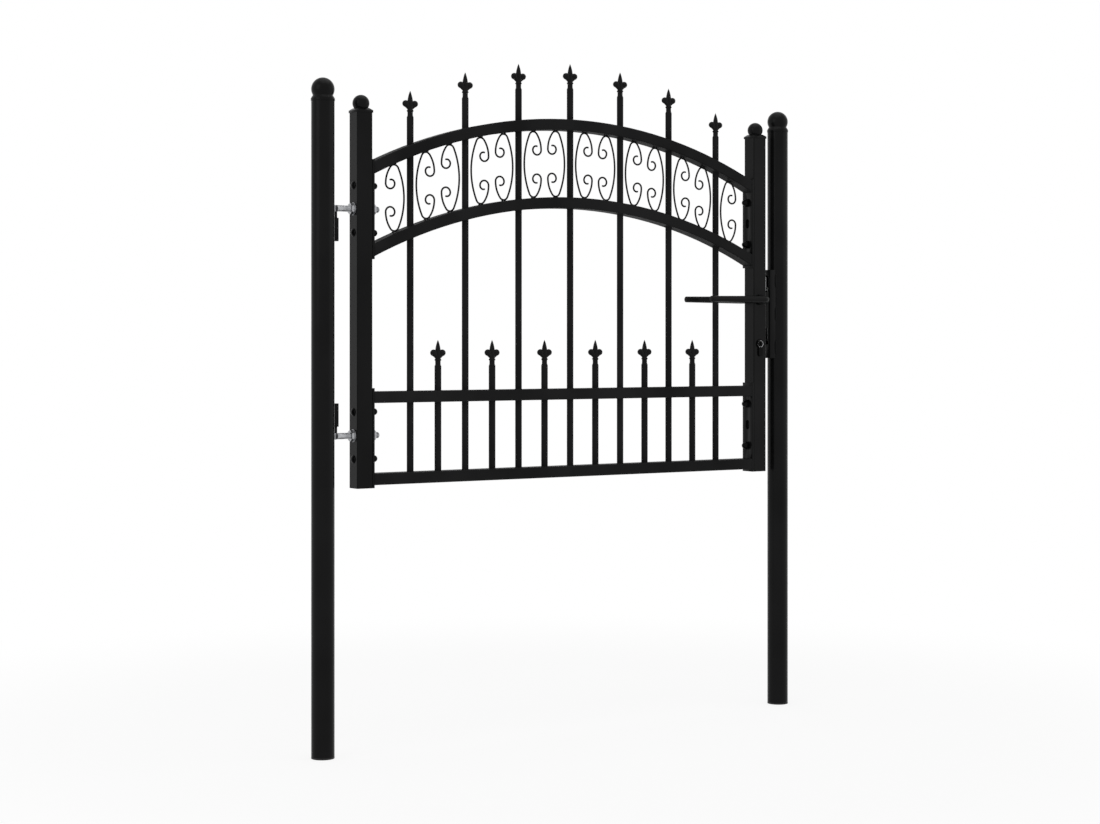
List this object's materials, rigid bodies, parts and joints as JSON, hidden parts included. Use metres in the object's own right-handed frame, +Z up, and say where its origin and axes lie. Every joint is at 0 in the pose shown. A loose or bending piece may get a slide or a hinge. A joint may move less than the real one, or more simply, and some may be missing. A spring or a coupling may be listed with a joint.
{
  "type": "arched garden gate with posts",
  "caption": "Arched black steel gate leaf with spear-topped pickets and wire scrollwork, hung on two round ball-capped posts, with a lever latch and swinging on eye bolts.",
  "frame": {"origin": "centre of the hinge post's foot", "axes": "+Z up along the hinge post, +X towards the latch post, +Y away from the front face"},
  "size_m": [1.0414, 0.094, 1.224],
  "materials": {
    "black_coat": "satin powder coat",
    "zinc": "bright zinc plate",
    "lock_steel": "brushed",
    "plug_plastic": "moulded"
  },
  "bodies": {
    "posts": {"hinge_post": "black_coat", "hinge_post_cap": "black_coat", "hinge_post_plug": "plug_plastic", "latch_post": "black_coat", "latch_post_cap": "black_coat", "latch_post_plug": "plug_plastic", "upper_pintle": "black_coat", "lower_pintle": "black_coat", "strike_channel": "black_coat"},
    "gate_leaf": {"hinge_stile": "black_coat", "latch_stile": "black_coat", "hinge_stile_cap": "black_coat", "latch_stile_cap": "black_coat", "bottom_rail": "black_coat", "middle_rail": "black_coat", "lower_arch": "black_coat", "upper_arch": "black_coat", "upper_hinge_plate": "black_coat", "lower_hinge_plate": "black_coat", "upper_latch_plate": "black_coat", "lower_latch_plate": "black_coat", "tall_picket_1": "black_coat", "tall_picket_2": "black_coat", "tall_picket_3": "black_coat", "tall_picket_4": "black_coat", "tall_picket_5": "black_coat", "tall_picket_6": "black_coat", "tall_picket_7": "black_coat", "short_picket_1": "black_coat", "short_picket_2": "black_coat", "short_picket_3": "black_coat", "short_picket_4": "black_coat", "short_picket_5": "black_coat", "short_picket_6": "black_coat", "tall_spearheads": "black_coat", "short_spearheads": "black_coat", "scrollwork": "black_coat", "panel_bolts": "black_coat", "upper_eye_bolt": "zinc", "lower_eye_bolt": "zinc", "hinge_nuts": "zinc", "lock_case": "lock_steel", "key_cylinder": "lock_steel"},
    "latch": {"latch_bolt": "lock_steel"},
    "lever": {"lever_spindle": "lock_steel", "front_lever": "black_coat", "back_lever": "black_coat"}
  },
  "joints": [
    {"name": "gate_swing", "type": "hinge", "parent": "posts", "child": "gate_leaf", "pos_m": [0.02618, 0.0095, 0.9415], "axis": [0, 0, 1], "range_deg": [0, 100]},
    {"name": "lever_turn", "type": "hinge", "parent": "gate_leaf", "child": "lever", "pos_m": [0.9435, 0, 0.7935], "axis": [0, -1, 0], "range_deg": [0, 40], "stiffness_Nm_per_rad": 1.5, "springref_deg": -28.65},
    {"name": "latch_slide", "type": "slide", "parent": "gate_leaf", "child": "latch", "axis": [-1, 0, 0], "range_m": [0, 0.007]}
  ],
  "couplings": [
    {"joint": "latch_slide", "follows": "lever_turn", "m_per_rad": 0.010026}
  ]
}
